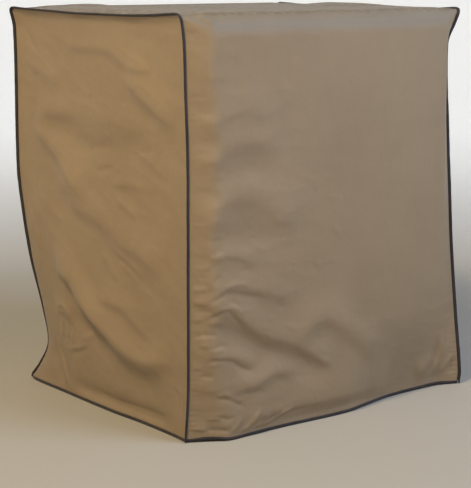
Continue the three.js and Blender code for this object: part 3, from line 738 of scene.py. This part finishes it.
def cloth_material():
    """Tan coated polyester: a fine plain weave under a satin coating, a little uneven in colour.

    It is darker near the ground, which is painted shade; where it faces up on the top and bevel it is tinted
    cool grey, which is painted sky light; and it is spotted on the level top.
    """
    look = Look("tan_coated_cloth", {
        "Roughness": 0.58, "Specular IOR Level": 0.28, "Sheen Weight": 0.08, "Sheen Roughness": 0.45,
    })
    flat = look.add("TexCoord").outputs["UV"]
    place = look.add("NewGeometry").outputs
    height = look.add("SeparateXYZ", {"Vector": place["Position"]}).outputs["Z"]
    facing = look.add("SeparateXYZ", {"Vector": place["Normal"]}).outputs["Z"]
    broad = look.noise(flat, scale=5.0, detail=6.0, roughness=0.62)
    tone = look.ramp(broad, (0.32, (0.262, 0.184, 0.106)), (0.7, (0.292, 0.207, 0.121)))
    thread_bands = {"Scale": 340.0, "Distortion": 0.6, "Detail": 1.0}
    weave = look.product(look.wave(flat, "X", thread_bands), look.wave(flat, "Y", thread_bands))
    woven = look.tinted(tone, weave, share=0.22)
    # Painted shade: the colour is darkened towards the ground, down to 0.9 of itself at 0.1 m.
    low_shaded = look.tinted(woven, look.graded(height, start=0.1, stop=0.45, low=0.9))
    # Painted sky light: up-facing cloth above 0.95 m, on the top and bevel, is tinted cool grey.
    facing_up = look.graded(facing, start=0.0, stop=0.4)
    sky_light_share = look.product(facing_up, look.graded(height, start=0.95, stop=0.985))
    sky_lit = look.tinted(low_shaded, (0.74, 0.85, 1.04, 1), sky_light_share)
    spots = look.noise(place["Position"], scale=64.0, detail=4.0)
    spot_tone = look.ramp(spots, (0.4, (0.6, 0.56, 0.49)), (0.63, (1.12, 1.07, 0.98)))
    spotted = look.tinted(sky_lit, spot_tone, look.graded(facing, start=0.8, stop=0.97))
    coarse = look.bump(look.noise(flat, scale=95.0, detail=4.0), strength=0.5, distance=0.0009)
    fine = look.bump(weave, strength=0.35, distance=0.00025, Normal=coarse)
    look.feed(look.shader, {"Base Color": spotted, "Normal": fine})
    return look.material


def tape_material():
    """Near-black woven tape with fine ribs across it."""
    look = Look("dark_tape", {"Roughness": 0.68, "Specular IOR Level": 0.35, "Sheen Weight": 0.1})
    flat = look.add("TexCoord").outputs["UV"]
    worn = look.noise(flat, scale=14.0, detail=5.0)
    tone = look.ramp(worn, (0.35, (0.009, 0.006, 0.006)), (0.75, (0.026, 0.017, 0.017)))
    ribs = look.wave(flat, "X", {"Scale": 260.0, "Distortion": 1.0})
    look.feed(look.shader, {"Base Color": tone, "Normal": look.bump(ribs, strength=0.5, distance=0.0004)})
    return look.material


def thread_material():
    look = Look("dark_thread", {"Base Color": (0.05, 0.037, 0.036, 1), "Roughness": 0.45})
    twist = look.add("TexNoise", {"Scale": 900.0}).outputs["Fac"]
    look.feed(look.shader, {"Normal": look.bump(twist, strength=0.3, distance=0.0002)})
    return look.material


def stage_material():
    """Pale all over, darker under the cover and glowing faintly towards the rim, warmer on one side."""
    look = Look("pale_stage", {"Roughness": 0.9})
    place = look.add("SeparateXYZ", {"Vector": look.add("TexCoord").outputs["UV"]}).outputs
    look.feed(look.shader, {
        "Base Color": look.ramp(place["X"], (0.15, (0.335, 0.302, 0.25)), (0.45, (0.8, 0.8, 0.8))),
        "Emission Strength": look.graded(place["X"], start=0.1, stop=0.6, high=0.4),
        "Emission Color": look.ramp(place["Y"], (0.35, (0.95, 0.98, 1.0)), (0.85, (1.0, 0.8, 0.52))),
    })
    return look.material


cloth = cloth_material()
tape = tape_material()
thread = thread_material()


# Wrap panel cloth
def soften_corner(grid, column, reach, passes):
    """Rounds the upright corner between a strip and the front over a few columns."""
    span = slice(column - reach, column + reach + 1)
    for _ in range(passes):
        before = grid[:, column - reach - 1:column + reach]
        after = grid[:, column - reach + 1:column + reach + 2]
        grid[:, span] = 0.5 * grid[:, span] + 0.25 * (before + after)


SOFTENING = {"left": (11, 44), "right": (5, 12)}
CALM = {"share": 0.65, "from_x": -200, "over_x": 200, "from_z": 180, "over_z": 160}
NOMINAL_EDGE = 450
SEAM_HOLD = 6.0
HEM_HOLD = {"from": 6.0, "over": 14.0}


def build_wrap():
    grid, ends = wrap_grid()
    soften_corner(grid, STRIP_COLUMNS, *SOFTENING["left"])
    soften_corner(grid, STRIP_COLUMNS + BODY_COLUMNS, *SOFTENING["right"])
    along = line_lengths(grid[:, grid.shape[1] // 2])
    across = line_lengths(grid[len(grid) // 2])
    flat = np.stack(np.broadcast_arrays(across[None, :], along[:, None]), -1)
    x, z, s = grid[..., 0], grid[..., 2], flat[..., 1]
    from_left, from_right = flat[..., 0], across[-1] - flat[..., 0]
    to_right = smooth((x - CALM["from_x"]) / CALM["over_x"])
    calm = 1 - CALM["share"] * to_right * smooth((z - CALM["from_z"]) / CALM["over_z"])
    relief = calm * crumple(flat[..., 0], s, SEED)
    nominal = np.concatenate((
        np.linspace(-NOMINAL_EDGE, LEFT_CORNER, STRIP_COLUMNS, endpoint=False),
        mix(LEFT_CORNER, RIGHT_CORNER, np.linspace(0, 1, BODY_COLUMNS + 1) ** LOW_GROWTH),
        np.linspace(RIGHT_CORNER, NOMINAL_EDGE, STRIP_COLUMNS + 1)[1:],
    ))
    small = FRONT_CREASES + strip_creases(SEED + 21)
    small += short_creases(60, (-390, 40), (0, 640), -0.35, SEED + 22)
    front = np.zeros(grid.shape[:2])
    front[:ends[0]] = fold_height(small, nominal[None, :], z[:ends[0]])
    relief = relief + fold_height(TIP_CREASES, flat[..., 0], s)
    relief = relief + front + pucker(s, from_left, SEED + 31) + pucker(s, from_right, SEED + 33)
    edge = smooth(np.minimum(from_left, from_right) / SEAM_HOLD)
    hem_rise = np.minimum(s - PANEL_FOOT, along[-1] - s)
    relief = relief + pucker(flat[..., 0], hem_rise, SEED + 35)
    relief = relief * edge * smooth((hem_rise - HEM_HOLD["from"]) / HEM_HOLD["over"])
    return grid + relief[..., None] * grid_normals(grid), flat


SIDE_ROWS = 222
SIDE_COLUMNS = 160


def build_side(side, small, seed, turn, strength):
    share = np.linspace(0, 1, SIDE_COLUMNS + 1)
    z = np.concatenate(([PANEL_FOOT, SECOND_ROW], np.linspace(BAND_TOP, SIDE_TIP, SIDE_ROWS)))
    share, level = np.meshgrid(share, z)
    grid = side_points(side, share, level)
    if side == "left":
        grid = grid[:, ::-1]
    y, height = grid[..., 1], grid[..., 2]
    along = np.abs(y - y[:, :1])
    flat = np.stack((along, height), -1)
    near_edge = np.minimum(along, np.abs(y - y[:, -1:]))
    below_top = grid[-1:, :, 2] - height
    relief = strength * crumple(along, height, seed, turn) + fold_height(small, y, height)
    relief = relief + pucker(height, near_edge, seed + 11) + pucker(along, below_top, seed + 13)
    relief = relief + pucker(along, height, seed + 15)
    hem_hold = smooth((height - PANEL_FOOT - HEM_HOLD["from"]) / HEM_HOLD["over"])
    hold = smooth(near_edge / SEAM_HOLD) * smooth(below_top / SEAM_HOLD) * hem_hold
    return grid + (relief * hold)[..., None] * grid_normals(grid), flat


wrap_points, wrap_flat = build_wrap()
wrap_cloth = cloth_mesh("wrap_cloth", wrap_points, wrap_flat, cloth)
left_small = LEFT_CREASES + short_creases(90, (-360, 60), (380, 900), 0.55, SEED + 41)
left_points, left_flat = build_side("left", left_small, SEED + 50, -0.5, 1.7)
left_cloth = cloth_mesh("left_side_cloth", left_points, left_flat, cloth)
right_small = short_creases(90, (-380, 60), (400, 900), -0.5, SEED + 43)
right_points, right_flat = build_side("right", right_small, SEED + 70, 0.4, 1.5)
right_cloth = cloth_mesh("right_side_cloth", right_points, right_flat, cloth)


# Tapes
TAPE_STEP = 5.0
TAPE_INNER = -2.0
INTO_WRAP = 4
INTO_SIDE = 0.04
TIP_BAND = 30
UNDER_TIP = 36.0
SEAM_TAPE = table(
    "across out",
    (-0.9, -1.2), (-1.8, 0.6), (-2.1, 2.0), (-1.95, 4.6), (-1.65, 7.0), (-0.8, 8.0),
    (0.8, 8.0), (1.65, 7.0), (1.95, 4.6), (2.1, 2.0), (1.8, 0.6), (0.9, -1.2),
)
HEM_TAPE = table(
    "out up",
    (-2.0, 0.2), (-2.5, 1.0), (-2.6, 4.2), (-2.3, 7.8), (-1.4, 8.4),
    (0.6, 8.4), (1.3, 7.7), (1.6, 4.2), (1.4, 0.9), (0.9, 0.2),
)


def resample(points, step, *others):
    """Evenly spaced points along a line, with other values carried along."""
    lengths = line_lengths(points)
    count = max(int(round(lengths[-1] / step)), 2)
    at = np.linspace(0, lengths[-1], count + 1)
    spread = [
        np.stack([np.interp(at, lengths, values[:, i]) for i in range(values.shape[1])], -1)
        for values in (points, *others)
    ]
    return (at, *spread)


def average_along(values, reach, closed=False):
    """Moving average over 2 * reach + 1 neighbours."""
    padded = np.pad(values, ((reach, reach), (0, 0)), mode="wrap" if closed else "edge")
    kernel = np.ones(2 * reach + 1) / (2 * reach + 1)
    return np.stack([np.convolve(padded[:, i], kernel, "valid") for i in range(values.shape[1])], -1)


def seam_frames(side):
    """Evenly spaced points of a seam with the directions along, out of and across it."""
    column = 0 if side == "left" else -1
    inner = INTO_WRAP if side == "left" else -1 - INTO_WRAP
    points = wrap_points[:, column]
    into_wrap = unit(wrap_points[:, inner] - points)
    tip_y = (seam_front(side, SIDE_TIP)[1], seam_back(side, SIDE_TIP)[1])
    on_top = (points[:, 2] > HEIGHT - TIP_BAND) & (points[:, 1] > tip_y[0]) & (points[:, 1] < tip_y[1])
    behind = points[:, 1] > 0
    share = np.where(on_top, (points[:, 1] - tip_y[0]) / (tip_y[1] - tip_y[0]), 1.0 * behind)
    share = np.clip(share, INTO_SIDE, 1 - INTO_SIDE)
    level = np.clip(np.where(on_top, SIDE_TIP - UNDER_TIP, points[:, 2]), PANEL_FOOT, SIDE_TIP - 1)
    into_side = unit(side_points(side, share, level) - points)
    at, points, into_wrap, into_side = resample(points, TAPE_STEP, into_wrap, into_side)
    along = unit(np.gradient(points, axis=0))
    hand = 1.0 if side == "left" else -1.0
    out = hand * (unit(np.cross(into_wrap, along)) + unit(np.cross(along, into_side)))
    out = unit(average_along(out, 4))
    out = unit(out - (out * along).sum(1, keepdims=True) * along)
    return at, points, along, out, np.cross(along, out)


def sweep(name, centres, side_axis, out_axis, section, at, closed, material, wobble, inner=TAPE_INNER):
    """A tape: its section carried along a line, with its edge a little uneven.

    Where inner is above a section's least height, the tape stands off that far.
    """
    a, b = section
    count, size = len(centres), len(a)
    stretch = 1 + wobble[:, None] * np.clip(b / b.max(), 0, 1)[None, :]
    b = np.maximum(b[None, :], np.broadcast_to(inner, (count,))[:, None])
    points = (
        centres[:, None]
        + side_axis[:, None] * a[None, :, None]
        + out_axis[:, None] * (b * stretch)[..., None]
    )
    index = np.arange(count * size).reshape(count, size)
    ahead = np.roll(index, -1, 0) if closed else index[1:]
    behind = index if closed else index[:-1]
    quads = np.stack((behind, np.roll(behind, -1, 1), np.roll(ahead, -1, 1), ahead), -1).reshape(-1, 4)
    round_it = np.cumsum(np.hypot(np.diff(a, prepend=a[0]), np.diff(section[1], prepend=section[1][0])))
    flat = np.stack(np.broadcast_arrays(at[:, None], round_it[None, :]), -1).reshape(-1, 2)
    return mesh_object(name, points.reshape(-1, 3), quads, material, flat)


STITCH = {"pitch": 4.2, "length": 3.0, "radius": 0.34}


def stitches(name, lines):
    """Thread stitches along lines on the tapes: short round-ended lengths, pulled in at their ends."""
    ring = np.array([(math.cos(t), math.sin(t)) for t in np.linspace(0, 2 * math.pi, 6)[:-1]])
    profile = table(
        "along size sink",
        (-0.5, 0.3, 0.3), (-0.3, 0.95, 0.02), (0.3, 0.95, 0.02), (0.5, 0.3, 0.3),
    )
    all_points, all_faces, base = [], [], 0
    for points, outward in lines:
        _, points, outward = resample(points, STITCH["pitch"], outward)
        along = unit(np.gradient(points, axis=0))
        beside = unit(np.cross(along, outward))
        outward = np.cross(beside, along)
        radius = STITCH["radius"]
        local = (
            along[:, None, None] * (profile["along"] * STITCH["length"])[None, :, None, None]
            + beside[:, None, None] * (profile["size"][:, None] * ring[None, :, 0] * radius)[None, ..., None]
            + outward[:, None, None] * (
                profile["size"][:, None] * ring[None, :, 1] * radius - profile["sink"][:, None]
            )[None, ..., None]
        )
        made = points[:, None, None] + local
        count, rings, size = made.shape[:3]
        index = base + np.arange(count * rings * size).reshape(count, rings, size)
        near, far = index[:, :-1], index[:, 1:]
        quads = np.stack((near, far, np.roll(far, -1, 2), np.roll(near, -1, 2)), -1).reshape(-1, 4)
        all_points.append(made.reshape(-1, 3))
        all_faces.append(quads)
        base += count * rings * size
    return mesh_object(name, np.vstack(all_points), np.vstack(all_faces), thread)


# Above the hem tape a seam tape sits on the seam; beside it, the seam tape stands off outside it
HEM_CLEAR = 9.0
TAPE_FOOT = 1.0
STAND_OFF = 3.4
TOP_TAPE_LESS = 0.28
TAPE_SWAY = {"degrees": 7, "size": 120}
TAPE_WOBBLE = {"by": 0.05, "size": 26}
HEM_WOBBLE = {"by": 0.04, "size": 30}
SEAM_STITCH = {"across": 2.02, "out": 3.0}
HEM_STITCH = {"up": 5.8, "out": 1.5, "in": -2.45}
seam_tapes, stitch_lines = {}, []
for side in ("left", "right"):
    frames = seam_frames(side)
    first, last = np.flatnonzero(frames[1][:, 2] > TAPE_FOOT)[[0, -1]]
    at, points, along, out, across = (values[first:last + 1] for values in frames)
    sway = np.radians(TAPE_SWAY["degrees"]) * noise(at, 0 * at, TAPE_SWAY["size"], SEED + 80)
    out, across = (
        out * np.cos(sway)[:, None] + across * np.sin(sway)[:, None],
        across * np.cos(sway)[:, None] - out * np.sin(sway)[:, None],
    )
    sewn = points[:, 2] > HEM_CLEAR
    wobble = TAPE_WOBBLE["by"] * noise(at, 0 * at, TAPE_WOBBLE["size"], SEED + 81)
    wobble = wobble - TOP_TAPE_LESS * smooth((points[:, 2] - SIDE_TIP) / EAR_ROUND)
    seam_tapes[side] = sweep(
        f"{side}_seam_tape", points, across, out, (SEAM_TAPE["across"], SEAM_TAPE["out"]),
        at, False, tape, wobble, np.where(points[:, 2] < HEM_CLEAR, STAND_OFF, TAPE_INNER),
    )
    for face in (-1, 1):
        line = points + across * SEAM_STITCH["across"] * face + out * SEAM_STITCH["out"]
        stitch_lines.append((line[sewn], (across * face)[sewn]))

hem_loop = np.concatenate((
    wrap_points[0, :-1], right_points[0, :-1], wrap_points[-1, ::-1][:-1], left_points[0, :-1],
))
at, hem_points = resample(np.vstack((hem_loop, hem_loop[:1])), TAPE_STEP)
at, hem_points = at[:-1], hem_points[:-1]
hem_along = np.roll(hem_points, -1, 0) - np.roll(hem_points, 1, 0)
hem_along[:, 2] = 0
hem_along = unit(average_along(unit(hem_along), 1, closed=True))
hem_out = np.stack((hem_along[:, 1], -hem_along[:, 0], 0 * at), -1)
hem_base = hem_points - np.array((0, 0, PANEL_FOOT))
upward = np.broadcast_to(np.array((0.0, 0.0, 1.0)), hem_base.shape)
hem_tape = sweep(
    "hem_tape", hem_base, hem_out, upward, (HEM_TAPE["out"][::-1], HEM_TAPE["up"][::-1]),
    at, True, tape, HEM_WOBBLE["by"] * noise(at, 0 * at, HEM_WOBBLE["size"], SEED + 90),
)
closing = np.arange(len(hem_base) + 1) % len(hem_base)
for face, offset in ((1, HEM_STITCH["out"]), (-1, HEM_STITCH["in"])):
    line = hem_base + hem_out * offset + upward * HEM_STITCH["up"]
    stitch_lines.append((line[closing], (hem_out * face)[closing]))
tape_stitches = stitches("tape_stitches", stitch_lines)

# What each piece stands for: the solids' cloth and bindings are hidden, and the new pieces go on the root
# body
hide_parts("wrap_panel")
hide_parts("left_side_panel")
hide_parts("right_side_panel")
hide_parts("left_binding")
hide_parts("right_binding")
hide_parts("hem_binding")
tapes = [seam_tapes["left"], seam_tapes["right"], hem_tape]
for piece in (wrap_cloth, left_cloth, right_cloth):
    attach(piece, "root")
for piece in (*tapes, tape_stitches):
    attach(piece, "root")

# Floor and backdrop: one pale bowl all round, in metres
STAGE = {"flat": 8.0, "bend": 3.0, "wall": 6.0, "sides": 72}
STAGE_RINGS = (0.02, 1, 2, 4)
bend_turn = np.linspace(0, math.pi / 2, 13)
stage_out = np.concatenate((STAGE_RINGS, STAGE["flat"] + STAGE["bend"] * np.sin(bend_turn)))
stage_up = np.concatenate((np.zeros(len(STAGE_RINGS)), STAGE["bend"] * (1 - np.cos(bend_turn))))
stage_out = np.append(stage_out, stage_out[-1])
stage_up = np.append(stage_up, STAGE["bend"] + STAGE["wall"])
stage_turn = np.linspace(0, 2 * math.pi, STAGE["sides"] + 1)
stage_points = np.stack(np.broadcast_arrays(
    stage_out[:, None] * np.cos(stage_turn), stage_out[:, None] * np.sin(stage_turn), stage_up[:, None]
), -1)
stage_flat = stage_points[..., :2] * 0
stage_flat[..., 0] = stage_out[:, None] / stage_out[-1]
stage_flat[..., 1] = 0.5 - 0.5 * np.cos(stage_turn)
stage = cloth_mesh("stage", stage_points / MM, stage_flat / MM, stage_material())

# Camera, at the photograph's place
CAMERA = {"place": (-2.4685, -3.2347, 1.1328), "turn": 37.174, "down": 10.392, "lens": 110.54}
camera = bpy.data.objects.new("camera", bpy.data.cameras.new("camera"))
camera.location = CAMERA["place"]
camera.rotation_euler = (math.radians(90 - CAMERA["down"]), 0, math.radians(-CAMERA["turn"]))
camera.data.lens = CAMERA["lens"]
camera.data.sensor_width = 36.0
camera.data.clip_end = 60.0
bpy.context.scene.collection.objects.link(camera)
bpy.context.scene.camera = camera


# Soft studio light
LIGHTS = {
    "key": {"place": (-3.1, -1.1, 4.4), "size": 0.9, "power": 222, "colour": (1.0, 0.86, 0.6)},
    "sky": {"place": (1.6, -3.3, 3.3), "size": 2.6, "power": 148, "colour": (0.66, 0.85, 1.24)},
}
LIGHT_TARGET = (0.0, 0.0, 0.5)
ROOM_LIGHT = {"Color": (0.86, 0.91, 1.0, 1), "Strength": 0.06}
for name, values in LIGHTS.items():
    light = bpy.data.lights.new(name, "AREA")
    light.shape = "RECTANGLE"
    light.size = light.size_y = values["size"]
    light.energy = values["power"]
    light.color = values["colour"]
    lamp = bpy.data.objects.new(name, light)
    lamp.location = values["place"]
    aim = np.array(LIGHT_TARGET) - np.array(values["place"])
    level_aim = math.hypot(aim[0], aim[1])
    lamp.rotation_euler = (math.atan2(level_aim, -aim[2]), 0, math.atan2(aim[1], aim[0]) - math.pi / 2)
    bpy.context.scene.collection.objects.link(lamp)
world = bpy.data.worlds.new("studio")
world.use_nodes = True
for name, value in ROOM_LIGHT.items():
    world.node_tree.nodes["Background"].inputs[name].default_value = value
bpy.context.scene.world = world
bpy.context.scene.view_settings.view_transform = "Standard"
